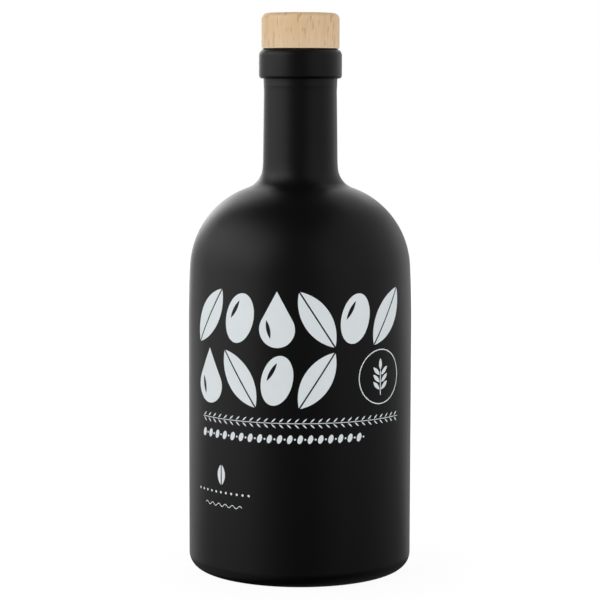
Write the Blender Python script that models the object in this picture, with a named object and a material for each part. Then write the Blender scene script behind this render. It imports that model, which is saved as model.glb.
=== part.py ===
# Olive oil bottle: a shut, round glass bottle with a dark coating and a turned wooden stopper.
# Metres, +Z up. The origin is the middle of the bottle's foot, on the surface it stands on.
# Both pieces are turned shapes, so each one is a half outline that a Screw modifier sweeps
# round the Z axis. The outline is made of straight runs and arcs that meet smoothly.

import math

import bpy

# Driving dimensions of the glass body
BODY_RADIUS = 0.0400
HEEL_RADIUS = 0.0055
FOOT_RING_WIDTH = 0.0045
PUSH_UP_HEIGHT = 0.0015
WALL_TOP = 0.0880

# The shoulder: the wall first leans in on a very large arc, then turns over a small one
LEAN_RADIUS = 0.4000
LEAN_ANGLE = math.radians(3.1)
SHOULDER_RADIUS = 0.0308

# The neck's root: a small hollow arc off the shoulder, then a larger one up into the neck
ROOT_RADIUS = 0.0082
SWEEP_RADIUS = 0.0380
SWEEP_ANGLE = math.radians(5.7)
NECK_FOOT_RADIUS = 0.0133

# The neck's top and the collar round the mouth
NECK_WAIST_RADIUS = 0.01297
NECK_WAIST_HEIGHT = 0.1715
COLLAR_RADIUS = 0.01475
COLLAR_BOTTOM = 0.1758
LIP_HEIGHT = 0.1864
COLLAR_LOWER_EDGE = 0.0015
COLLAR_UPPER_EDGE = 0.0025
COLLAR_UNDERSIDE_RADIUS = 0.01318

# The stopper's wooden head, which rests on the lip
HEAD_RADIUS = 0.01385
HEAD_HEIGHT = 0.0122
HEAD_TOP_EDGE = 0.0023
HEAD_LOWER_CHAMFER = 0.0004
TOUCHING_GAP = 0.0003

# Fineness: how far a flat facet may stand off the true arc, and the facets round the axis
CHORD_ERROR = 0.00004
SEGMENTS_AROUND = 72
MERGE_DISTANCE = 0.00001
SHARP_ANGLE = math.radians(35.0)

# Directions in the outline's plane, as angles from level and outwards
LEVEL = 0.0
UP = math.radians(90.0)
DOWN = math.radians(-90.0)
INWARD = math.radians(180.0)


def clear_scene():
    for old in list(bpy.data.objects):
        bpy.data.objects.remove(old, do_unlink=True)


def arc(centre, radius, start, end):
    """Points (distance from the axis, height) along an arc, its angles measured from level."""
    widest_step = 2.0 * math.acos(1.0 - CHORD_ERROR / radius)
    steps = math.ceil(abs(end - start) / widest_step)
    points = []
    for step in range(steps + 1):
        angle = start + (end - start) * step / steps
        x = centre[0] + radius * math.cos(angle)
        z = centre[1] + radius * math.sin(angle)
        points.append((x, z))
    return points


def without_repeats(points):
    """The outline with each point that lies on the one before it left out."""
    kept = [points[0]]
    for point in points[1:]:
        if math.dist(point, kept[-1]) > MERGE_DISTANCE:
            kept.append(point)
    return kept


def foot_outline():
    """From the middle of the pushed-up base, across the flat foot ring, up the rounded heel."""
    ring_outer = BODY_RADIUS - HEEL_RADIUS
    ring_inner = ring_outer - FOOT_RING_WIDTH
    push_up_radius = (ring_inner ** 2 + PUSH_UP_HEIGHT ** 2) / (2.0 * PUSH_UP_HEIGHT)
    half_angle = math.asin(ring_inner / push_up_radius)
    bowl_centre = (0.0, PUSH_UP_HEIGHT - push_up_radius)
    bowl = arc(bowl_centre, push_up_radius, UP, UP - half_angle)
    heel = arc((ring_outer, HEEL_RADIUS), HEEL_RADIUS, DOWN, LEVEL)
    return bowl + heel


def shoulder_outline():
    """From the top of the straight wall, over the shoulder, to the foot of the neck."""
    lean_centre = (BODY_RADIUS - LEAN_RADIUS, WALL_TOP)
    lean = arc(lean_centre, LEAN_RADIUS, LEVEL, LEAN_ANGLE)

    inset = LEAN_RADIUS - SHOULDER_RADIUS
    shoulder_centre = (
        lean_centre[0] + inset * math.cos(LEAN_ANGLE),
        lean_centre[1] + inset * math.sin(LEAN_ANGLE),
    )

    # The root arc is hollow. Its centre stands off the neck, and the two arcs meet in one tangent.
    outset = SWEEP_RADIUS - ROOT_RADIUS
    root_x = NECK_FOOT_RADIUS + SWEEP_RADIUS - outset * math.cos(SWEEP_ANGLE)
    across = root_x - shoulder_centre[0]
    rise = math.sqrt((SHOULDER_RADIUS + ROOT_RADIUS) ** 2 - across ** 2)
    root_centre = (root_x, shoulder_centre[1] + rise)
    meeting = math.atan2(rise, across)
    shoulder = arc(shoulder_centre, SHOULDER_RADIUS, LEAN_ANGLE, meeting)
    root = arc(root_centre, ROOT_RADIUS, INWARD + meeting, INWARD + SWEEP_ANGLE)

    sweep_centre = (NECK_FOOT_RADIUS + SWEEP_RADIUS, root_centre[1] + outset * math.sin(SWEEP_ANGLE))
    sweep = arc(sweep_centre, SWEEP_RADIUS, INWARD + SWEEP_ANGLE, INWARD)
    return lean + shoulder + root + sweep


def mouth_outline():
    """The neck's waist, the collar with its two rounded edges, and the flat lip."""
    waist = [(NECK_WAIST_RADIUS, NECK_WAIST_HEIGHT), (COLLAR_UNDERSIDE_RADIUS, COLLAR_BOTTOM)]
    lower_centre = (COLLAR_RADIUS - COLLAR_LOWER_EDGE, COLLAR_BOTTOM + COLLAR_LOWER_EDGE)
    upper_centre = (COLLAR_RADIUS - COLLAR_UPPER_EDGE, LIP_HEIGHT - COLLAR_UPPER_EDGE)
    lower = arc(lower_centre, COLLAR_LOWER_EDGE, DOWN, LEVEL)
    upper = arc(upper_centre, COLLAR_UPPER_EDGE, LEVEL, UP)
    return waist + lower + upper + [(0.0, LIP_HEIGHT)]


def head_outline():
    """The wooden head: flat underside, narrow chamfer, straight side, rounded top edge."""
    bottom = LIP_HEIGHT + TOUCHING_GAP
    top = bottom + HEAD_HEIGHT
    underside = [
        (0.0, bottom),
        (HEAD_RADIUS - HEAD_LOWER_CHAMFER, bottom),
        (HEAD_RADIUS, bottom + HEAD_LOWER_CHAMFER),
    ]
    edge_centre = (HEAD_RADIUS - HEAD_TOP_EDGE, top - HEAD_TOP_EDGE)
    edge = arc(edge_centre, HEAD_TOP_EDGE, LEVEL, UP)
    return underside + edge + [(0.0, top)]


def finish(name, colour, roughness):
    """A Principled material with one colour and roughness."""
    material = bpy.data.materials.new(name)
    material.use_nodes = True
    shader = material.node_tree.nodes["Principled BSDF"]
    shader.inputs["Base Color"].default_value = (*colour, 1.0)
    shader.inputs["Roughness"].default_value = roughness
    shader.inputs["Metallic"].default_value = 0.0
    return material


def turned(name, outline, material):
    """An object whose half outline is swept once round the Z axis."""
    # The sweep wants its outline from top to bottom, so that the faces point outwards.
    points = list(reversed(without_repeats(outline)))
    vertices = [(x, 0.0, z) for x, z in points]
    edges = [(i, i + 1) for i in range(len(vertices) - 1)]
    mesh = bpy.data.meshes.new(name)
    mesh.from_pydata(vertices, edges, [])
    mesh.materials.append(material)
    piece = bpy.data.objects.new(name, mesh)
    bpy.context.scene.collection.objects.link(piece)

    sweep = piece.modifiers.new("turn", "SCREW")
    sweep.axis = "Z"
    sweep.angle = math.tau
    sweep.steps = SEGMENTS_AROUND
    sweep.render_steps = SEGMENTS_AROUND
    sweep.use_merge_vertices = True
    sweep.merge_threshold = MERGE_DISTANCE
    sweep.use_smooth_shade = True
    return piece


def smooth_but_for_edges(piece):
    """Turns the sweep into a mesh and shades it smooth, with crisp rims where it bends sharply."""
    depsgraph = bpy.context.evaluated_depsgraph_get()
    swept = bpy.data.meshes.new_from_object(piece.evaluated_get(depsgraph))
    swept.name = piece.name
    piece.modifiers.clear()
    piece.data = swept
    swept.shade_smooth()
    swept.set_sharp_from_angle(angle=SHARP_ANGLE)


def main():
    clear_scene()
    coated_glass = finish("matt_black_coating", (0.010, 0.010, 0.011), 0.55)
    pale_wood = finish("pale_wood", (0.64, 0.46, 0.28), 0.60)
    bottle = turned("bottle", foot_outline() + shoulder_outline() + mouth_outline(), coated_glass)
    stopper = turned("stopper", head_outline(), pale_wood)
    for piece in (bottle, stopper):
        smooth_but_for_edges(piece)
    stopper.parent = bottle


main()
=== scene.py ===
# %% [markdown]
# # A matt black bottle of olive oil
#
# The measured model holds two plain solids: the glass, and the wooden head of its
# stopper. This lesson gives them the look of the real thing, in small steps. Every step
# says what the piece is, how it could be made, and why this way was chosen.
#
# Lengths are in metres. The bottle stands on the level z = 0 with its axis on the Z axis,
# and its printed front looks along -Y, towards the camera.

# %% Load the measured model
import math

import bmesh
import bpy
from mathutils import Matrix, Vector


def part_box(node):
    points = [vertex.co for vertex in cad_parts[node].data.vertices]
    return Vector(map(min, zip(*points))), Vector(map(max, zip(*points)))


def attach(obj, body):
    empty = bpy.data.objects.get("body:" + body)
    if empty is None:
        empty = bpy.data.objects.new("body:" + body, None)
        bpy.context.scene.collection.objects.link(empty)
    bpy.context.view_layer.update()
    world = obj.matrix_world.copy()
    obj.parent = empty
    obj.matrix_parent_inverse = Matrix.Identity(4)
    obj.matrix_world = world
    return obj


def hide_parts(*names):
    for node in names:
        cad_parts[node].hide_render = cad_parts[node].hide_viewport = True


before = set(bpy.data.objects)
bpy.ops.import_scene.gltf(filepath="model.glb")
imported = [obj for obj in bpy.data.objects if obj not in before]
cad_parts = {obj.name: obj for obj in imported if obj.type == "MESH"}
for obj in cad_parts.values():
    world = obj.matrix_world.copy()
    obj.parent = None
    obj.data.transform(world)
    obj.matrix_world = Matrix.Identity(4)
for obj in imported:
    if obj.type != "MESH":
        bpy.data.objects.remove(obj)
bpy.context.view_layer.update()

GLASS_LOW, GLASS_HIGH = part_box("bottle")
HEAD_LOW, HEAD_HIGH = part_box("stopper")
MM = 0.001
print("glass, low and high corner:", GLASS_LOW, GLASS_HIGH)
print("wooden head, low and high corner:", HEAD_LOW, HEAD_HIGH)

# %% [markdown]
# ## The camera
#
# The photograph was taken with a long lens from about three quarters of a metre, with the
# camera near the height of the mouth and tipped a little down. That is why the foot
# shows as a curve while the collar is almost a straight line. A longer or a shorter lens
# would change how much the foot curves, so the distance comes first and the lens then
# fills the frame. A tenth of a degree of roll is enough to show on a bottle this straight,
# so the camera has that too.

# %% Place the camera
CAMERA_DISTANCE = 761.7 * MM
CAMERA_HEIGHT = 176.9 * MM
CAMERA_ASIDE = -0.15 * MM
CAMERA_TIP = math.radians(6.01)
CAMERA_ROLL = math.radians(0.10)
LENS = 127.95
SENSOR = 36.0
NEAREST_SEEN = 10.0 * MM


def place_camera():
    lens = bpy.data.cameras.new("camera")
    lens.lens = LENS
    lens.sensor_width = SENSOR
    lens.clip_start = NEAREST_SEEN
    camera = bpy.data.objects.new("camera", lens)
    camera.location = (CAMERA_ASIDE, -CAMERA_DISTANCE, CAMERA_HEIGHT)
    camera.rotation_euler = (math.radians(90.0) - CAMERA_TIP, -CAMERA_ROLL, 0.0)
    bpy.context.scene.collection.objects.link(camera)
    bpy.context.scene.camera = camera
    return camera


camera = place_camera()
print("camera at", tuple(round(v, 4) for v in camera.location))

# %% [markdown]
# ## Materials as sums
#
# A material is easier to read as a sum than as a web of nodes. A small class wraps one
# socket, and its operators add the Math nodes. Everything else, such as a noise or a mix,
# comes from one method of the recipe, which takes the node's type, its settings and what
# goes into its sockets.


# %% A socket that can be added and multiplied
class Signal:
    """A number, colour or vector on its way through a material."""

    def __init__(self, recipe, socket):
        self.recipe = recipe
        self.socket = socket

    def maths(self, operation, first, second):
        return self.recipe.node("ShaderNodeMath", {"operation": operation}, {0: first, 1: second})

    def __add__(self, other):
        return self.maths("ADD", self, other)

    def __radd__(self, other):
        return self.maths("ADD", other, self)

    def __sub__(self, other):
        return self.maths("SUBTRACT", self, other)

    def __rsub__(self, other):
        return self.maths("SUBTRACT", other, self)

    def __mul__(self, other):
        return self.maths("MULTIPLY", self, other)

    def __rmul__(self, other):
        return self.maths("MULTIPLY", other, self)

    def __pow__(self, other):
        return self.maths("POWER", self, other)


print("a Signal understands + - * and **")


# %% A recipe holds one material's nodes
class Recipe:
    """A new material, its Principled shader, and the nodes that feed it."""

    def __init__(self, name, **constants):
        self.material = bpy.data.materials.new(name)
        self.material.use_nodes = True
        self.tree = self.material.node_tree
        self.shader = self.tree.nodes["Principled BSDF"]
        for socket, value in constants.items():
            self.shader.inputs[socket.replace("_", " ")].default_value = value

    def node(self, kind, settings=None, sockets=None, output=0):
        """Any node: its type, its settings, and the values or links of its sockets."""
        made = self.tree.nodes.new(kind)
        for setting, value in (settings or {}).items():
            setattr(made, setting, value)
        for socket, value in (sockets or {}).items():
            self.feed(made.inputs[socket], value)
        return Signal(self, made.outputs[output])

    def feed(self, socket, value):
        if isinstance(value, Signal):
            self.tree.links.new(value.socket, socket)
        else:
            socket.default_value = value

    def place(self):
        """Where a point of the piece is, in metres, in the piece's own space."""
        return self.node("ShaderNodeTexCoord", output="Object")

    def split(self, vector):
        """The X, Y and Z of a vector as three signals."""
        parts = self.node("ShaderNodeSeparateXYZ", sockets={0: vector}).socket.node
        return [Signal(self, parts.outputs[i]) for i in range(3)]

    def join(self, x, y, z):
        return self.node("ShaderNodeCombineXYZ", sockets={0: x, 1: y, 2: z})

    def noise(self, where, per_metre, detail=2.0, roughness=0.5):
        """Cloudy noise between 0 and 1, with so many features to the metre."""
        sockets = {"Vector": where, "Scale": per_metre, "Detail": detail, "Roughness": roughness}
        return self.node("ShaderNodeTexNoise", sockets=sockets)

    def between(self, signal, low, high):
        """0 at low, 1 at high, and a smooth rise between them."""
        settings = {"interpolation_type": "SMOOTHSTEP"}
        return self.node("ShaderNodeMapRange", settings, {0: signal, 1: low, 2: high})

    def mix(self, factor, first, second):
        """From the first colour to the second, as the factor goes from 0 to 1.

        The Mix node has sockets for every kind of data. 6 and 7 are the two colours, and
        the colour comes out of 2.
        """
        sockets = {0: factor, 6: self.paint(first), 7: self.paint(second)}
        return self.node("ShaderNodeMix", {"data_type": "RGBA"}, sockets, output=2)

    def paint(self, colour):
        return colour if isinstance(colour, Signal) else (*colour, 1.0)

    def bump(self, height, depth, strength):
        """A relief of that depth in metres where the height signal goes from 0 to 1."""
        sockets = {"Height": height, "Distance": depth, "Strength": strength}
        self.feed(self.shader.inputs["Normal"], self.node("ShaderNodeBump", sockets=sockets))


print("a Recipe holds the nodes of one material")

# %% [markdown]
# ## Outlines for turned pieces
#
# Glass that is blown in a mould and wood that is turned on a lathe share one idea: a half
# outline goes once round an axis. The outline is a list of points, each with its distance
# from the axis and its height. Straight runs need only their ends. Arcs choose their own
# number of points, so that no facet stands further off the true curve than a few
# thousandths of a millimetre.

# %% Arcs and the directions they run in
LEVEL = 0.0
UP = math.radians(90.0)
DOWN = math.radians(-90.0)
INWARD = math.radians(180.0)
CHORD_ERROR = 0.002 * MM


def arc(centre, radius, start, end):
    """Points along an arc whose angles are measured from level and outwards."""
    widest_step = 2.0 * math.acos(1.0 - CHORD_ERROR / radius)
    steps = math.ceil(abs(end - start) / widest_step)
    angles = [start + (end - start) * step / steps for step in range(steps + 1)]
    return [(centre[0] + radius * math.cos(a), centre[1] + radius * math.sin(a)) for a in angles]


print("a quarter turn at 5 mm takes", len(arc((0.0, 0.0), 5 * MM, LEVEL, UP)), "points")

# %% Turn an outline into a mesh
AROUND = 256
SAME_POINT = 0.001 * MM
SHARP_ANGLE = math.radians(35.0)


def new_piece(name, mesh_data):
    """A new object in the scene that moves with the bottle."""
    mesh = bpy.data.meshes.new(name)
    mesh_data.to_mesh(mesh)
    mesh_data.free()
    mesh.shade_smooth()
    mesh.set_sharp_from_angle(angle=SHARP_ANGLE)
    piece = bpy.data.objects.new(name, mesh)
    bpy.context.scene.collection.objects.link(piece)
    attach(piece, "root")
    return piece


def turned(name, outline):
    """The outline, from the middle of the underside to the middle of the top, swept once round."""
    work = bmesh.new()
    points = [work.verts.new((x, 0.0, z)) for x, z in outline]
    edges = [work.edges.new(pair) for pair in zip(points, points[1:])]
    bmesh.ops.spin(
        work, geom=points + edges, cent=(0.0, 0.0, 0.0), axis=(0.0, 0.0, 1.0),
        angle=math.tau, steps=AROUND, use_merge=True,
    )
    bmesh.ops.remove_doubles(work, verts=work.verts, dist=SAME_POINT)
    bmesh.ops.recalc_face_normals(work, faces=work.faces)
    return new_piece(name, work)


print("one turn is cut into", AROUND, "steps")

# %% [markdown]
# ## The glass
#
# The real bottle is a stout one with a soft shoulder and a slim neck. Its wall leans in
# slightly before the shoulder turns over, and the neck grows out of the shoulder through a
# hollow curve. Under the collar runs the fine ring where the mould's neck piece met its
# body. The underside is pushed up a little, so that the bottle rests on a narrow ring.
#
# The glass could be cut from a cylinder with bevels, but a turned outline keeps every
# radius in one place, and the shading stays clean. It is drawn a hair thinner than the
# measured model, by the thickness of the print, so that the print lies inside the model.

# %% The bottle's sizes
PRINT_THICKNESS = 0.04 * MM
WALL_RADIUS = (GLASS_HIGH.x - GLASS_LOW.x) / 2.0 - PRINT_THICKNESS
LIP_HEIGHT = GLASS_HIGH.z
HEEL_RADIUS = 5.5 * MM
FOOT_RING_WIDTH = 4.5 * MM
PUSH_UP_HEIGHT = 1.5 * MM
WALL_TOP = 88.0 * MM
LEAN_RADIUS = 400.0 * MM
LEAN_ANGLE = math.radians(3.1)
SHOULDER_RADIUS = 30.8 * MM
ROOT_RADIUS = 8.2 * MM
SWEEP_RADIUS = 38.0 * MM
SWEEP_ANGLE = math.radians(5.7)
NECK_FOOT_RADIUS = 13.3 * MM
NECK_WAIST_RADIUS = 12.97 * MM
NECK_WAIST_HEIGHT = 171.5 * MM
MOULD_RING_HEIGHT = 173.3 * MM
MOULD_RING_BULGE = 0.04 * MM
MOULD_RING_HALF_WIDTH = 0.2 * MM
COLLAR_RADIUS = 14.75 * MM
COLLAR_BOTTOM = 175.8 * MM
COLLAR_LOWER_EDGE = 1.1 * MM
COLLAR_UPPER_EDGE = 2.5 * MM
COLLAR_UNDERSIDE_RADIUS = 13.18 * MM
print("wall radius %.2f mm, lip at %.2f mm" % (WALL_RADIUS / MM, LIP_HEIGHT / MM))


# %% Foot and heel
def foot_outline():
    """From the middle of the pushed-up base, across the foot ring, up the rounded heel."""
    ring_outer = WALL_RADIUS - HEEL_RADIUS
    ring_inner = ring_outer - FOOT_RING_WIDTH
    bowl_radius = (ring_inner ** 2 + PUSH_UP_HEIGHT ** 2) / (2.0 * PUSH_UP_HEIGHT)
    half_angle = math.asin(ring_inner / bowl_radius)
    bowl = arc((0.0, PUSH_UP_HEIGHT - bowl_radius), bowl_radius, UP, UP - half_angle)
    heel = arc((ring_outer, HEEL_RADIUS), HEEL_RADIUS, DOWN, LEVEL)
    return bowl + heel


print("foot and heel:", len(foot_outline()), "points")


# %% Shoulder and neck root
def shoulder_outline():
    """From the top of the straight wall, over the shoulder, to the foot of the neck."""
    lean_centre = (WALL_RADIUS - LEAN_RADIUS, WALL_TOP)
    inset = LEAN_RADIUS - SHOULDER_RADIUS
    shoulder_centre = (
        lean_centre[0] + inset * math.cos(LEAN_ANGLE),
        lean_centre[1] + inset * math.sin(LEAN_ANGLE),
    )

    # The hollow root arc touches the shoulder arc and the larger sweep that ends in the neck.
    outset = SWEEP_RADIUS - ROOT_RADIUS
    root_x = NECK_FOOT_RADIUS + SWEEP_RADIUS - outset * math.cos(SWEEP_ANGLE)
    across = root_x - shoulder_centre[0]
    rise = math.sqrt((SHOULDER_RADIUS + ROOT_RADIUS) ** 2 - across ** 2)
    root_centre = (root_x, shoulder_centre[1] + rise)
    sweep_centre = (
        NECK_FOOT_RADIUS + SWEEP_RADIUS,
        root_centre[1] + outset * math.sin(SWEEP_ANGLE),
    )
    meeting = math.atan2(rise, across)

    lean = arc(lean_centre, LEAN_RADIUS, LEVEL, LEAN_ANGLE)
    shoulder = arc(shoulder_centre, SHOULDER_RADIUS, LEAN_ANGLE, meeting)
    root = arc(root_centre, ROOT_RADIUS, INWARD + meeting, INWARD + SWEEP_ANGLE)
    sweep = arc(sweep_centre, SWEEP_RADIUS, INWARD + SWEEP_ANGLE, INWARD)
    return lean + shoulder + root + sweep


print("shoulder and neck root:", len(shoulder_outline()), "points")


# %% Mould ring, collar and lip
def mouth_outline():
    """The neck's waist, the mould ring on its flare, the collar, and the flat lip."""
    flare = (COLLAR_UNDERSIDE_RADIUS - NECK_WAIST_RADIUS) / (COLLAR_BOTTOM - NECK_WAIST_HEIGHT)
    ring_radius = NECK_WAIST_RADIUS + flare * (MOULD_RING_HEIGHT - NECK_WAIST_HEIGHT)
    ring = [
        (ring_radius, MOULD_RING_HEIGHT - MOULD_RING_HALF_WIDTH),
        (ring_radius + MOULD_RING_BULGE, MOULD_RING_HEIGHT),
        (ring_radius, MOULD_RING_HEIGHT + MOULD_RING_HALF_WIDTH),
    ]
    lower_centre = (COLLAR_RADIUS - COLLAR_LOWER_EDGE, COLLAR_BOTTOM + COLLAR_LOWER_EDGE)
    upper_centre = (COLLAR_RADIUS - COLLAR_UPPER_EDGE, LIP_HEIGHT - COLLAR_UPPER_EDGE)
    lower = arc(lower_centre, COLLAR_LOWER_EDGE, DOWN, LEVEL)
    upper = arc(upper_centre, COLLAR_UPPER_EDGE, LEVEL, UP)
    waist = [(NECK_WAIST_RADIUS, NECK_WAIST_HEIGHT)]
    underside = [(COLLAR_UNDERSIDE_RADIUS, COLLAR_BOTTOM)]
    return waist + ring + underside + lower + upper + [(0.0, LIP_HEIGHT)]


print("mould ring, collar and lip:", len(mouth_outline()), "points")

# %% Turn the bottle
bottle = turned("coated_bottle", foot_outline() + shoulder_outline() + mouth_outline())
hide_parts("bottle")
print("coated bottle:", len(bottle.data.polygons), "faces")

# %% [markdown]
# ## The black coating
#
# The glass is sprayed with a matt lacquer. Close up it has a soft, even tooth, a very
# slight orange peel, and a few places that hands have polished a little. A glossy clear
# coat would be wrong, and so would a flat black, which loses the soft light on the
# shoulder. So the colour stays almost black, the roughness wanders by a few hundredths,
# and two noises of different grain make the relief.

# %% Mix the coating
DEEP_BLACK = (0.0040, 0.0040, 0.0043)
HAZY_BLACK = (0.0056, 0.0056, 0.0059)
COATING_IOR = 1.45
COATING_ROUGHNESS = 0.42
ROUGHNESS_SPREAD = 0.03
COATING_RELIEF = 0.03 * MM
PEEL_SHARE = 0.7


def black_coating():
    recipe = Recipe("matt_black_coating", IOR=COATING_IOR)
    where = recipe.place()
    peel = recipe.noise(where, per_metre=700.0, detail=1.0)
    tooth = recipe.noise(where, per_metre=5200.0, detail=2.0)
    handling = recipe.noise(where, per_metre=24.0, detail=3.0, roughness=0.6)
    haze = recipe.between(handling, 0.35, 0.75)
    colour = recipe.mix(haze, DEEP_BLACK, HAZY_BLACK)
    recipe.feed(recipe.shader.inputs["Base Color"], colour)
    roughness = COATING_ROUGHNESS - ROUGHNESS_SPREAD * haze + ROUGHNESS_SPREAD * tooth
    recipe.feed(recipe.shader.inputs["Roughness"], roughness)
    relief = PEEL_SHARE * peel + (1.0 - PEEL_SHARE) * tooth
    recipe.bump(relief, depth=COATING_RELIEF, strength=0.35)
    return recipe.material


coating = black_coating()
bottle.data.materials.append(coating)
print("coating:", len(coating.node_tree.nodes), "nodes")

# %% [markdown]
# ## Print that lies on a round wall
#
# The print is a layer of pale ink a few hundredths of a millimetre thick. It could be a
# pattern inside the coating's material, but then its edges would be only as crisp as an
# image. Here each shape is real: it is drawn flat, as on the screen that prints it, filled,
# cut into upright strips and level courses, given its thickness, and bent round the wall.
# Flat drawings are in millimetres: how far round the wall from the front, and how high.


# %% The wall's radius at a height
def wall_radius(z):
    """The wall is straight up to its top, and then leans in on a very large arc."""
    above = max(0.0, z - WALL_TOP)
    return WALL_RADIUS - LEAN_RADIUS + math.sqrt(LEAN_RADIUS ** 2 - above ** 2)


print("wall radius at 100 mm: %.3f mm" % (wall_radius(100 * MM) / MM))

# %% Print a flat drawing onto the wall
STRIP = 1.0
COURSE = 3.0
INK_SINK = 0.02


def cut_across(work, direction, step):
    """Cuts every face along evenly spaced lines, so that it can bend."""
    places = [vertex.co.dot(direction) for vertex in work.verts]
    first = math.ceil(min(places) / step)
    last = math.floor(max(places) / step)
    for line in range(first, last + 1):
        everything = work.verts[:] + work.edges[:] + work.faces[:]
        point = [line * step * part for part in direction]
        bmesh.ops.bisect_plane(work, geom=everything, plane_co=point, plane_no=direction)


def bend_round_wall(work):
    for vertex in work.verts:
        along, out, height = vertex.co
        angle = along * MM / WALL_RADIUS
        radius = wall_radius(height * MM) + out * MM
        vertex.co = (radius * math.sin(angle), -radius * math.cos(angle), height * MM)


def printed(name, loops):
    """A thin layer of ink in the shape of the loops. A loop inside another is a hole in it."""
    work = bmesh.new()
    thickness = PRINT_THICKNESS / MM
    for loop in loops:
        points = [work.verts.new((x, thickness, z)) for x, z in loop]
        for pair in zip(points, points[1:] + points[:1]):
            work.edges.new(pair)
    bmesh.ops.triangle_fill(work, edges=work.edges[:], use_beauty=True)
    cut_across(work, (1.0, 0.0, 0.0), STRIP)
    cut_across(work, (0.0, 0.0, 1.0), COURSE)
    grown = bmesh.ops.extrude_face_region(work, geom=work.faces[:])
    back = [item for item in grown["geom"] if isinstance(item, bmesh.types.BMVert)]
    into_wall = (0.0, -thickness - INK_SINK, 0.0)
    bmesh.ops.translate(work, verts=back, vec=into_wall)
    bend_round_wall(work)
    bmesh.ops.recalc_face_normals(work, faces=work.faces)
    return new_piece(name, work)


print("the ink is %.2f mm thick" % (PRINT_THICKNESS / MM))

# %% [markdown]
# ## The print's motifs
#
# The big print is a block of bold, simple figures: leaves, olives and drops of oil. Each
# has only a few curves. A leaf is a lens, split by its midrib. An olive is an ellipse with
# a glint cut out of it. A drop is a circle with a pointed top.


# %% Turn and move a flat loop
def moved(loop, centre, tilt=0.0):
    """The loop turned about its own origin, then moved to its centre."""
    c = math.cos(tilt)
    s = math.sin(tilt)
    return [(centre[0] + x * c - z * s, centre[1] + x * s + z * c) for x, z in loop]


def ellipse(width, height, steps=72):
    angles = [math.tau * step / steps for step in range(steps)]
    return [(width / 2.0 * math.cos(a), height / 2.0 * math.sin(a)) for a in angles]


print("an ellipse has", len(ellipse(1.0, 1.0)), "points")


# %% A leaf, split by its midrib
def lens_radius(length, half_width):
    """The radius of the two arcs that bound a lens."""
    return (length ** 2 / 4.0 + half_width ** 2) / (2.0 * half_width)


def lens_bulge(along, length, half_width):
    """How far a lens bulges from its long axis, at a place along it."""
    radius = lens_radius(length, half_width)
    return math.sqrt(radius ** 2 - (along - length / 2.0) ** 2) - radius + half_width


def lens(length, half_width, steps=24):
    """A whole lens round its own middle, its long axis upright."""
    places = [length * step / steps for step in range(steps + 1)]
    right = [(lens_bulge(p, length, half_width), p - length / 2.0) for p in places]
    left = [(-x, z) for x, z in reversed(right[1:-1])]
    return right + left


def leaf(length, half_width, slit, steps=24):
    """Two half leaves round their own middle, with the midrib left open between them."""
    radius = lens_radius(length, half_width)
    reach = math.sqrt(radius ** 2 - (radius - half_width + slit / 2.0) ** 2)
    places = [-reach + 2.0 * reach * step / steps for step in range(steps + 1)]
    right = [(lens_bulge(p + length / 2.0, length, half_width), p) for p in places]
    left = [(-x, z) for x, z in right]
    return [right, left]


print("a leaf has", len(leaf(24.0, 5.0, 0.5)), "halves")

# %% An olive and a drop of oil
# A glint's length and place are shares of its figure's height and width.
OLIVE_GLINT_LENGTH = 0.42
OLIVE_GLINT_PLACE = (-0.22, 0.14)
OLIVE_GLINT_TILT = math.radians(-16.0)
DROP_GLINT_LENGTH = 0.34
DROP_GLINT_ASIDE = -0.24
DROP_GLINT_TILT = math.radians(12.0)


def olive(width, height, glint):
    """An olive round its own middle, with a curved glint near its upper left."""
    shine = lens(height * OLIVE_GLINT_LENGTH, glint / 2.0)
    place = (width * OLIVE_GLINT_PLACE[0], height * OLIVE_GLINT_PLACE[1])
    return [ellipse(width, height), moved(shine, place, OLIVE_GLINT_TILT)]


def drop(width, height, glint, steps=60):
    """A drop whose pointed top stands height above its lowest point."""
    radius = width / 2.0
    to_tip = height - radius
    touch = math.acos(radius / to_tip)
    start = UP + touch
    turn = math.tau - 2.0 * touch
    angles = [start + turn * step / steps for step in range(steps + 1)]
    base = -height / 2.0 + radius
    outline = [(radius * math.cos(a), base + radius * math.sin(a)) for a in angles]
    shine = lens(height * DROP_GLINT_LENGTH, glint / 2.0)
    place = (width * DROP_GLINT_ASIDE, base)
    return [outline + [(0.0, base + to_tip)], moved(shine, place, DROP_GLINT_TILT)]


print("a drop has", len(drop(12.0, 19.0, 1.0)[0]), "points round its edge")

# %% [markdown]
# ## Setting out the big print
#
# The figures stand in two rows that start at the same left edge, like building blocks. The
# upper row goes far round the wall on both sides. To the right of the lower row is a thin
# ring with a sprig in it.

# %% The grid of the big print
PRINT_LEFT = -42.3
FIGURE_WIDTH = 12.6
FIGURE_HEIGHT = 19.4
FIGURE_GAP = 1.4
UPPER_ROW = 94.0
LOWER_ROW = 73.0
LEAF_LEAN = math.atan2(FIGURE_WIDTH, FIGURE_HEIGHT)
LEAF_LENGTH = math.hypot(FIGURE_WIDTH, FIGURE_HEIGHT)
LEAF_HALF_WIDTH = 4.9
MIDRIB = 0.55
OLIVE_WIDTH = 11.0
OLIVE_HEIGHT = 17.6
OLIVE_TILT = math.radians(-14.0)
GLINT = 1.4


def figure_centre(column, row):
    return (PRINT_LEFT + FIGURE_WIDTH / 2.0 + column * (FIGURE_WIDTH + FIGURE_GAP), row)


def place_leaf(column, row, lean):
    halves = leaf(LEAF_LENGTH, LEAF_HALF_WIDTH, MIDRIB)
    return [moved(half, figure_centre(column, row), lean * LEAF_LEAN) for half in halves]


def place_olive(column, row):
    loops = olive(OLIVE_WIDTH, OLIVE_HEIGHT, GLINT)
    return [moved(loop, figure_centre(column, row), OLIVE_TILT) for loop in loops]


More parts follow.
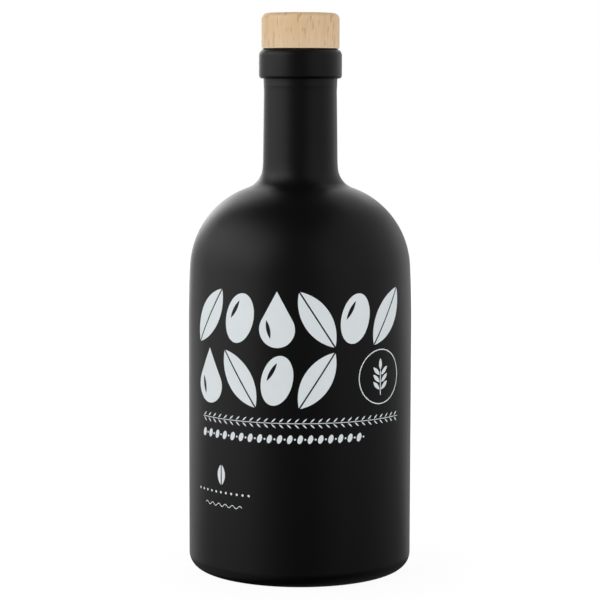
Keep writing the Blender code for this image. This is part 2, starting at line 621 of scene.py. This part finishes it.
def place_drop(column, row):
    loops = drop(FIGURE_WIDTH, FIGURE_HEIGHT, GLINT)
    return [moved(loop, figure_centre(column, row)) for loop in loops]


print("the first leaf leans by %.0f degrees" % math.degrees(LEAF_LEAN))

# %% Print the two rows
LEAN_RIGHT = -1.0
LEAN_LEFT = 1.0

upper_row = (
    place_leaf(0, UPPER_ROW, LEAN_RIGHT)
    + place_olive(1, UPPER_ROW)
    + place_drop(2, UPPER_ROW)
    + place_leaf(3, UPPER_ROW, LEAN_LEFT)
    + place_olive(4, UPPER_ROW)
    + place_leaf(5, UPPER_ROW, LEAN_RIGHT)
)
lower_row = (
    place_drop(0, LOWER_ROW)
    + place_leaf(1, LOWER_ROW, LEAN_LEFT)
    + place_olive(2, LOWER_ROW)
    + place_leaf(3, LOWER_ROW, LEAN_RIGHT)
)
prints = [printed("print_upper_row", upper_row), printed("print_lower_row", lower_row)]
print("big figures:", sum(len(piece.data.polygons) for piece in prints), "faces")

# %% The ring and its sprig
RING_CENTRE = (30.9, 73.1)
RING_DIAMETER = 19.3
RING_LINE = 0.36
RING_STEPS = 96
SPRIG_HEIGHT = 12.8
SPRIG_PAIRS = 3
SPRIG_PAIR_STEP = 2.55
SPRIG_LEAF_LENGTH = 4.1
SPRIG_LEAF_HALF_WIDTH = 0.72
SPRIG_LEAF_LEAN = math.radians(46.0)
SPRIG_LEAF_STEPS = 12
SPRIG_STEM_WIDTH = 0.4
SPRIG_LEAF_GAP = 0.22


def sprig():
    """An upright stem with pairs of slim leaves and one leaf at its tip, round its own middle.

    Every leaf stands a little clear of the stem and of the next leaf, because loops that are
    filled together must not overlap.
    """
    half_stem = SPRIG_STEM_WIDTH / 2.0
    half_leaf = SPRIG_LEAF_LENGTH / 2.0
    foot = -SPRIG_HEIGHT / 2.0
    top = SPRIG_HEIGHT / 2.0 - SPRIG_LEAF_LENGTH - SPRIG_LEAF_GAP
    stem = [(-half_stem, foot), (half_stem, foot), (half_stem, top), (-half_stem, top)]
    shape = lens(SPRIG_LEAF_LENGTH, SPRIG_LEAF_HALF_WIDTH, SPRIG_LEAF_STEPS)
    loops = [stem, moved(shape, (0.0, SPRIG_HEIGHT / 2.0 - half_leaf))]
    across = half_stem + SPRIG_LEAF_GAP + half_leaf * math.sin(SPRIG_LEAF_LEAN)
    for pair in range(SPRIG_PAIRS):
        level = top - SPRIG_LEAF_GAP - (pair + 0.5) * SPRIG_PAIR_STEP
        for side in (-1.0, 1.0):
            centre = (side * across, level + half_leaf * math.cos(SPRIG_LEAF_LEAN))
            loops.append(moved(shape, centre, -side * SPRIG_LEAF_LEAN))
    return loops


def thin_ring():
    """Two circles, of which the inner one is a hole."""
    inner = RING_DIAMETER - 2 * RING_LINE
    return [ellipse(size, size, RING_STEPS) for size in (RING_DIAMETER, inner)]


ring_and_sprig = [moved(loop, RING_CENTRE) for loop in thin_ring() + sprig()]
prints.append(printed("print_ring", ring_and_sprig))
print("ring and sprig:", len(ring_and_sprig), "loops")

# %% [markdown]
# ## The two fine bands and the small mark
#
# Under the big print run a fine garland and a bolder band of beads. Low on the left stand
# a small leaf, a dotted rule and a wavy one. Each band repeats one small motif, so a loop
# sets them out.

# %% The garland and the bead band
GARLAND_LEFT = -40.2
GARLAND_RIGHT = 40.8
GARLAND_LEVEL = 58.3
GARLAND_HALF_LINE = 0.11
GARLAND_LEAVES = 30
GARLAND_LEAF_LENGTH = 2.1
GARLAND_LEAF_HALF_WIDTH = 0.24
GARLAND_LEAF_ASIDE = 0.98
GARLAND_LEAF_LEAN = math.radians(48.0)
GARLAND_LEAF_STEPS = 10
BEADS_LEFT = -40.2
BEADS_RIGHT = 23.9
BEADS_LEVEL = 52.75
BEADS = 18
BEAD_WIDTH = 1.75
BEAD_HEIGHT = 3.1
BEAD_TILT = math.radians(-18.0)
BEAD_STEPS = 24
DOT_DIAMETER = 0.7
DOT_STEPS = 16
# Where the bead and its dot stand, as shares of a step from the step's middle
BEAD_PLACE = -0.18
DOT_PLACE = 0.32


def garland():
    """A thin stem with a pair of slim leaves at every step, all leaning to the right."""
    step = (GARLAND_RIGHT - GARLAND_LEFT) / GARLAND_LEAVES
    low = GARLAND_LEVEL - GARLAND_HALF_LINE
    high = GARLAND_LEVEL + GARLAND_HALF_LINE
    shape = lens(GARLAND_LEAF_LENGTH, GARLAND_LEAF_HALF_WIDTH, GARLAND_LEAF_STEPS)
    stem = [(GARLAND_LEFT, low), (GARLAND_RIGHT, low), (GARLAND_RIGHT, high), (GARLAND_LEFT, high)]
    loops = [stem]
    for place in range(GARLAND_LEAVES):
        x = GARLAND_LEFT + step * (place + 0.5)
        for side in (-1.0, 1.0):
            centre = (x, GARLAND_LEVEL + side * GARLAND_LEAF_ASIDE)
            loops.append(moved(shape, centre, -side * GARLAND_LEAF_LEAN))
    return loops


def bead_band():
    """Leaning beads, each followed by a small dot."""
    step = (BEADS_RIGHT - BEADS_LEFT) / BEADS
    bead = ellipse(BEAD_WIDTH, BEAD_HEIGHT, BEAD_STEPS)
    dot = ellipse(DOT_DIAMETER, DOT_DIAMETER, DOT_STEPS)
    loops = []
    for place in range(BEADS):
        x = BEADS_LEFT + step * (place + 0.5)
        loops.append(moved(bead, (x + step * BEAD_PLACE, BEADS_LEVEL), BEAD_TILT))
        loops.append(moved(dot, (x + step * DOT_PLACE, BEADS_LEVEL)))
    return loops


prints.append(printed("print_garland", garland()))
prints.append(printed("print_beads", bead_band()))
print("garland:", GARLAND_LEAVES, "pairs of leaves; band:", BEADS, "beads")

# %% The small mark
MARK_CENTRE = (-30.1, 38.5)
MARK_LEAF_LENGTH = 7.6
MARK_LEAF_HALF_WIDTH = 1.75
MARK_MIDRIB = 0.5
MARK_LEAF_STEPS = 16
RULE_LEFT = -42.3
RULE_RIGHT = -18.3
RULE_LEVEL = 32.3
RULE_DOTS = 11
RULE_DOT_DIAMETER = 0.85
WAVE_LEFT = -38.6
WAVE_RIGHT = -21.0
WAVE_LEVEL = 27.8
WAVES = 5.5
WAVE_CREST = 0.5
WAVE_HALF_LINE = 0.14
WAVE_STEPS = 90


def wavy_line():
    """A thin wavy band: along its lower edge, and back along its upper one."""
    length = WAVE_RIGHT - WAVE_LEFT
    shares = [step / WAVE_STEPS for step in range(WAVE_STEPS + 1)]
    line = [(WAVE_LEFT + length * p, WAVE_CREST * math.sin(p * WAVES * math.tau)) for p in shares]
    lower = [(x, WAVE_LEVEL + z - WAVE_HALF_LINE) for x, z in line]
    upper = [(x, WAVE_LEVEL + z + WAVE_HALF_LINE) for x, z in line]
    return lower + list(reversed(upper))


def small_mark():
    """An upright leaf over a row of dots and a wavy line."""
    halves = leaf(MARK_LEAF_LENGTH, MARK_LEAF_HALF_WIDTH, MARK_MIDRIB, MARK_LEAF_STEPS)
    loops = [moved(half, MARK_CENTRE) for half in halves]
    spot = ellipse(RULE_DOT_DIAMETER, RULE_DOT_DIAMETER, DOT_STEPS)
    for dot in range(RULE_DOTS):
        x = RULE_LEFT + (RULE_RIGHT - RULE_LEFT) * dot / (RULE_DOTS - 1)
        loops.append(moved(spot, (x, RULE_LEVEL)))
    return loops + [wavy_line()]


prints.append(printed("print_small_mark", small_mark()))
print("print pieces:", [piece.name for piece in prints])

# %% [markdown]
# ## The ink
#
# Screen ink is an even, cool pale grey with a faint grain. Its sheen is a little softer
# than the coating's. A plain grey would look like paper stuck on. So two very slight
# noises are added: one for the thickness of the ink, one for the mesh of the screen.

# %% Mix the ink
THIN_INK = (0.70, 0.75, 0.77)
FULL_INK = (0.76, 0.81, 0.83)
INK_ROUGHNESS = 0.52
INK_RELIEF = 0.01 * MM


def pale_ink():
    recipe = Recipe("pale_ink", Specular_IOR_Level=0.4)
    where = recipe.place()
    cover = recipe.noise(where, per_metre=160.0, detail=3.0)
    mesh = recipe.noise(where, per_metre=4000.0, detail=1.0)
    colour = recipe.mix(cover, THIN_INK, FULL_INK)
    recipe.feed(recipe.shader.inputs["Base Color"], colour)
    recipe.feed(recipe.shader.inputs["Roughness"], INK_ROUGHNESS + 0.08 * mesh)
    recipe.bump(mesh, depth=INK_RELIEF, strength=0.3)
    return recipe.material


ink = pale_ink()
for piece in prints:
    piece.data.materials.append(ink)
print("ink on", len(prints), "pieces")

# %% [markdown]
# ## The wooden head
#
# The stopper's head is turned from pale beech, with the grain upright. Its top edge is
# well rounded, its lower edge only just broken. A cylinder with bevels would do, but the
# turned outline gives each edge its own radius. The measured model keeps a small gap
# between wood and glass, as its tests ask. Here the head comes down to rest on the lip,
# as the real one does, so that no light shows under it.

# %% The head's sizes
HEAD_RADIUS = (HEAD_HIGH.x - HEAD_LOW.x) / 2.0
HEAD_CLEARANCE = 0.02 * MM
HEAD_BOTTOM = LIP_HEIGHT + HEAD_CLEARANCE
HEAD_TOP = HEAD_HIGH.z
HEAD_TOP_EDGE = 2.3 * MM
HEAD_LOWER_EDGE = 0.3 * MM
print("head: %.1f mm across, %.1f mm high" % (2 * HEAD_RADIUS / MM, (HEAD_TOP - HEAD_BOTTOM) / MM))


# %% Turn the head
def head_outline():
    """The flat underside, the broken edge, the side, the rounded edge and the top."""
    lower_centre = (HEAD_RADIUS - HEAD_LOWER_EDGE, HEAD_BOTTOM + HEAD_LOWER_EDGE)
    upper_centre = (HEAD_RADIUS - HEAD_TOP_EDGE, HEAD_TOP - HEAD_TOP_EDGE)
    lower = arc(lower_centre, HEAD_LOWER_EDGE, DOWN, LEVEL)
    upper = arc(upper_centre, HEAD_TOP_EDGE, LEVEL, UP)
    return [(0.0, HEAD_BOTTOM)] + lower + upper + [(0.0, HEAD_TOP)]


head = turned("wooden_head", head_outline())
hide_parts("stopper")
print("wooden head:", len(head.data.polygons), "faces")

# %% [markdown]
# ## Beech
#
# Three things make beech look like beech. Its year rings are soft bands. On a turned side
# with upright grain they show as pale and dark upright stripes, and on the top as arcs. Its
# rays are thin sheets that stand upright and point at the tree's heart: from the side they
# are short dark flecks, from above they are fine lines. And its pores are hair-fine upright
# scratches.
#
# All three come from one set of coordinates round the tree's heart, which lies outside the
# small head. So side and top agree, as they do in a real block.

# %% Mix the beech
HEART = (9.0 * MM, 46.0 * MM)
RING_WANDER = 1.2 * MM
EARLY_WOOD = (0.73, 0.50, 0.285)
LATE_WOOD = (0.655, 0.44, 0.24)
PALE_STRIPE = (0.76, 0.54, 0.32)
PALE_STREAK = (0.84, 0.63, 0.40)
RAY_BROWN = (0.40, 0.24, 0.12)
PORE_BROWN = (0.42, 0.27, 0.15)
# Painted light: this pale colour lifts the shade on the lower half and paints a highlight on the
# lower edge
PAINTED_LIGHT_WOOD = (0.90, 0.72, 0.53)
# Heights where the painted edge highlight and the painted lift on the lower half end
EDGE_HIGHLIGHT_FULL = 0.25 * MM
EDGE_HIGHLIGHT_END = 0.75 * MM
PAINTED_LIFT_END = 8.0 * MM
GRAIN_RELIEF = 0.05 * MM


def beech():
    recipe = Recipe("pale_beech")
    where = recipe.place()
    x, y, z = recipe.split(where)
    wander = recipe.noise(where, per_metre=60.0, detail=2.0)

    # Places round the heart: how far out, how far round at the head's own distance, how high
    dx = x - HEART[0]
    dy = y - HEART[1]
    out = (dx * dx + dy * dy) ** 0.5 + RING_WANDER * wander
    turn = recipe.node("ShaderNodeMath", {"operation": "ARCTAN2"}, {0: dx, 1: dy})
    around = turn * math.hypot(*HEART)

    def grain(slowness, per_metre, detail):
        """Noise that changes more slowly up the trunk than across it."""
        place = recipe.join(out, around, slowness * z)
        return recipe.noise(place, per_metre=per_metre, detail=detail)

    # Year rings: soft bands along the way out
    bands = recipe.noise(recipe.join(out, 0.0, 0.04 * z), per_metre=480.0, detail=2.0)
    tone = recipe.between(bands, 0.32, 0.70)

    # Upright stripes: a fraction of a millimetre wide, many millimetres high
    stripes = grain(slowness=0.03, per_metre=1300.0, detail=2.0)

    # Rays: thin, two or three millimetres high, and deep towards the heart
    ray_place = recipe.join(0.35 * out, around, 0.14 * z)
    ray_cells = recipe.noise(ray_place, per_metre=1650.0, detail=0.0)
    crowd = recipe.noise(where, per_metre=110.0, detail=0.0)
    rays = recipe.between(ray_cells + 0.14 * crowd, 0.725, 0.80)

    # Pale streaks lie among the rays, a little wider and longer
    streaks = recipe.between(grain(slowness=0.10, per_metre=1050.0, detail=1.0), 0.56, 0.72)

    # Pores: finer and fainter than the rays
    pores = recipe.between(grain(slowness=0.06, per_metre=3800.0, detail=0.0), 0.60, 0.75)

    # Each layer shows over the one before it, as strongly as its number says
    ground = recipe.mix(tone, EARLY_WOOD, LATE_WOOD)
    striped = recipe.mix(0.5 * stripes, ground, PALE_STRIPE)
    streaked = recipe.mix(0.5 * streaks, striped, PALE_STREAK)
    flecked = recipe.mix(0.52 * rays, streaked, RAY_BROWN)
    pored = recipe.mix(0.2 * pores, flecked, PORE_BROWN)

    # Painted light: the lower half is painted a little paler to lift the shade towards the bottom,
    # and the broken lower edge paler still, as a painted highlight
    painted_lift_lower_half = 1.0 - recipe.between(z, HEAD_BOTTOM + EDGE_HIGHLIGHT_END, HEAD_BOTTOM + PAINTED_LIFT_END)
    painted_edge_highlight = 1.0 - recipe.between(z, HEAD_BOTTOM + EDGE_HIGHLIGHT_FULL, HEAD_BOTTOM + EDGE_HIGHLIGHT_END)
    lifted_by_painted_light = recipe.mix(0.2 * painted_lift_lower_half, pored, PAINTED_LIGHT_WOOD)
    colour = recipe.mix(0.5 * painted_edge_highlight, lifted_by_painted_light, PAINTED_LIGHT_WOOD)
    recipe.feed(recipe.shader.inputs["Base Color"], colour)
    recipe.feed(recipe.shader.inputs["Roughness"], 0.56 - 0.10 * rays + 0.06 * stripes)
    recipe.bump(1.0 - 0.5 * rays - 0.5 * pores, depth=GRAIN_RELIEF, strength=0.5)
    return recipe.material


wood = beech()
head.data.materials.append(wood)
print("beech:", len(wood.node_tree.nodes), "nodes")

# %% [markdown]
# ## The studio
#
# The picture was lit for a matt black bottle: a strong tall soft light on the left, a
# weaker and wider one on the right, and white paper behind that draws the bright rims. The
# paper is brightest in its middle and along its upper edges. The walls and the table give
# back a little light of their own.
#
# Nothing bright stands behind the camera or hangs overhead, which is why a dark strip runs
# down the middle. A lone bright room would lift all of that to grey. So the floor and the
# room are plain white to the camera, but light nothing and shade nothing, and every gleam
# comes from a soft light with a name. The floor lies a hair under the foot, so that the two
# never share a plane.

# %% Floor and room
FLOOR_RADIUS = 3.0
PAINTED_SHADOW_RADIUS = 120.0 * MM
FLOOR_SIDES = 128
WHITE = (1.0, 1.0, 1.0)
# Painted shadow: the floor's glow close round the foot
PAINTED_SHADOW_GREY = (0.95, 0.95, 0.95)
UNLIT_GREY = (0.10, 0.10, 0.10)
FLOOR_DROP = 0.02 * MM


def plain_floor():
    """A plain white floor, bright by itself. Round the foot its glow is painted a little grey as a
    trace of shadow, and the bottle casts a faint real one on its dim grey.
    """
    work = bmesh.new()
    bmesh.ops.create_circle(work, cap_ends=True, segments=FLOOR_SIDES, radius=FLOOR_RADIUS)
    mesh = bpy.data.meshes.new("floor")
    work.to_mesh(mesh)
    work.free()
    floor = bpy.data.objects.new("floor", mesh)
    floor.visible_diffuse = False
    floor.visible_glossy = False
    floor.visible_shadow = False
    floor.location.z = -FLOOR_DROP
    bpy.context.scene.collection.objects.link(floor)
    return floor


def floor_paint():
    recipe = Recipe(
        "floor_paint",
        Base_Color=(*UNLIT_GREY, 1.0),
        Roughness=1.0,
        Specular_IOR_Level=0.0,
        Emission_Strength=1.0,
    )
    x, y, _ = recipe.split(recipe.place())
    # Painted shadow: the glow turns greyer towards the foot
    painted_shadow_fade = recipe.between((x * x + y * y) ** 0.5, GLASS_HIGH.x, PAINTED_SHADOW_RADIUS)
    recipe.feed(recipe.shader.inputs["Emission Color"], recipe.mix(painted_shadow_fade, PAINTED_SHADOW_GREY, WHITE))
    return recipe.material


def white_room():
    world = bpy.data.worlds.new("white_room")
    world.use_nodes = True
    world.node_tree.nodes["Background"].inputs["Color"].default_value = (*WHITE, 1.0)
    world.cycles_visibility.diffuse = False
    world.cycles_visibility.glossy = False
    bpy.context.scene.world = world


floor = plain_floor()
floor.data.materials.append(floor_paint())
white_room()
print("the floor lies %.2f mm under the foot" % (FLOOR_DROP / MM))

# %% Soft lights
AIM = (0.0, 0.0, 100.0 * MM)
LIGHT_DISTANCE = 1.0


def light_width(angles):
    """How wide a flat light has to be at its distance to fill these angles."""
    return 2.0 * LIGHT_DISTANCE * math.tan(math.radians(angles[1] - angles[0]) / 2.0)


def soft_light(name, azimuths, elevations, radiance):
    """A flat soft light that faces the bottle and fills these angles, as the bottle sees it.

    Azimuth 0 is the camera's side and 90 is the right. Elevation 0 is level.
    """
    a = math.radians(sum(azimuths) / 2.0)
    e = math.radians(sum(elevations) / 2.0)
    lamp = bpy.data.lights.new(name, "AREA")
    lamp.shape = "RECTANGLE"
    lamp.size = light_width(azimuths)
    lamp.size_y = light_width(elevations)
    lamp.energy = radiance * math.pi * lamp.size * lamp.size_y
    light = bpy.data.objects.new(name, lamp)
    light.location = (
        AIM[0] + LIGHT_DISTANCE * math.sin(a) * math.cos(e),
        AIM[1] - LIGHT_DISTANCE * math.cos(a) * math.cos(e),
        AIM[2] + LIGHT_DISTANCE * math.sin(e),
    )
    light.rotation_euler = (math.radians(90.0) - e, 0.0, a)
    light.visible_camera = False
    bpy.context.scene.collection.objects.link(light)
    return light


lights = [
    soft_light("left_soft_light", (-110.0, -38.0), (-10.0, 53.0), 1.02),
    soft_light("right_soft_light", (23.0, 141.0), (-15.0, 64.0), 0.38),
    soft_light("white_paper_behind", (131.0, 245.0), (-22.0, 26.0), 0.68),
    soft_light("bright_paper_left", (-189.0, -157.0), (-12.0, 23.0), 1.15),
    soft_light("bright_paper_right", (166.0, 206.0), (-9.0, 24.0), 1.15),
    soft_light("paper_left_edge", (-159.0, -146.0), (7.0, 46.0), 2.09),
    soft_light("paper_right_edge", (154.0, 166.0), (21.0, 32.0), 2.2),
    soft_light("paper_right_top", (136.0, 148.0), (46.0, 54.0), 2.0),
    soft_light("paper_left_crest", (-172.0, -158.0), (31.0, 46.0), 1.3),
    soft_light("paper_right_crest", (159.0, 173.0), (32.0, 46.0), 1.1),
    soft_light("left_wall", (-134.0, -39.0), (18.0, 38.0), 0.53),
    soft_light("right_wall", (88.0, 161.0), (-9.0, 37.0), 0.156),
    soft_light("front_glow", (-25.0, 58.0), (-16.0, 12.0), 0.14),
    soft_light("table_left", (-152.0, -25.0), (-59.0, -8.0), 0.158),
    soft_light("table_right", (92.0, 163.0), (-82.0, -13.0), 0.104),
]
bpy.context.scene.view_settings.view_transform = "Standard"
print("soft lights:", [light.name for light in lights])

# %% [markdown]
# ## Light for the print and the wood
#
# A picture like this one is often put together from two exposures: one that keeps the
# black deep, and a brighter one for the print. One set of lights can't do both, because
# what makes pale ink bright also puts a gleam on the black beside it. Light linking does
# the same in one render: these lights reach only the pieces in their own collection.

# %% Fill lights with light linking
pale_pieces = bpy.data.collections.new("print_and_wood")
for piece in prints + [head]:
    pale_pieces.objects.link(piece)

fills = [
    soft_light("fill_left", (-90.0, -20.0), (-20.0, 40.0), 1.12),
    soft_light("fill_right", (20.0, 90.0), (-20.0, 40.0), 1.50),
    soft_light("fill_front", (-60.0, 60.0), (-10.0, 50.0), 0.24),
]
for light in fills:
    light.light_linking.receiver_collection = pale_pieces
